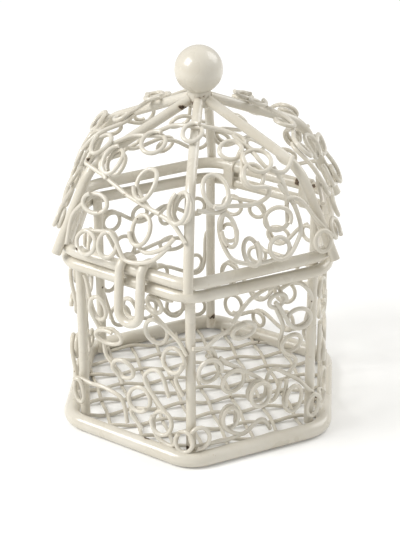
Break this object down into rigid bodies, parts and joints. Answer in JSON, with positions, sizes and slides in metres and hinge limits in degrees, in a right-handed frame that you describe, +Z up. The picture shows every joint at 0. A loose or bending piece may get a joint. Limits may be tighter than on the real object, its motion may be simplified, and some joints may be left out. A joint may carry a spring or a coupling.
{
  "type": "wire birdcage favour box",
  "caption": "Small hexagonal birdcage favour box of painted wire with curled filigree faces, a domed hinged lid with a ball finial, a woven wire floor and a swinging wire latch.",
  "frame": {"origin": "middle of the outline on the surface that the base ring stands on", "axes": "+Z up, the latch face at -Y and the hinge face at +Y, two corner bars on the X axis"},
  "size_m": [0.0818, 0.0734, 0.0976],
  "materials": {
    "ivory_paint": "glossy"
  },
  "bodies": {
    "cage": {"base_ring": "ivory_paint", "floor_warp": "ivory_paint", "floor_weft": "ivory_paint", "bar_1": "ivory_paint", "bar_2": "ivory_paint", "bar_3": "ivory_paint", "bar_4": "ivory_paint", "bar_5": "ivory_paint", "bar_6": "ivory_paint", "body_ring": "ivory_paint", "body_scroll_1": "ivory_paint", "body_scroll_2": "ivory_paint", "body_scroll_3": "ivory_paint", "body_scroll_4": "ivory_paint", "body_scroll_5": "ivory_paint", "body_scroll_6": "ivory_paint", "hinge_strap_1": "ivory_paint", "hinge_strap_2": "ivory_paint"},
    "lid": {"lid_ring": "ivory_paint", "rib_1": "ivory_paint", "rib_2": "ivory_paint", "rib_3": "ivory_paint", "rib_4": "ivory_paint", "rib_5": "ivory_paint", "rib_6": "ivory_paint", "lid_scroll_1": "ivory_paint", "lid_scroll_2": "ivory_paint", "lid_scroll_3": "ivory_paint", "lid_scroll_4": "ivory_paint", "lid_scroll_5": "ivory_paint", "lid_scroll_6": "ivory_paint", "apex_hub": "ivory_paint", "finial_ball": "ivory_paint"},
    "latch": {"latch_hook": "ivory_paint"}
  },
  "joints": [
    {"name": "lid_hinge", "type": "hinge", "parent": "cage", "child": "lid", "pos_m": [0, 0.03245, 0.05163], "axis": [-1, 0, 0], "range_deg": [0, 100]},
    {"name": "latch_swing", "type": "hinge", "parent": "lid", "child": "latch", "pos_m": [0.00355, -0.03247, 0.0505], "axis": [-1, 0, 0], "range_deg": [0, 45]}
  ]
}
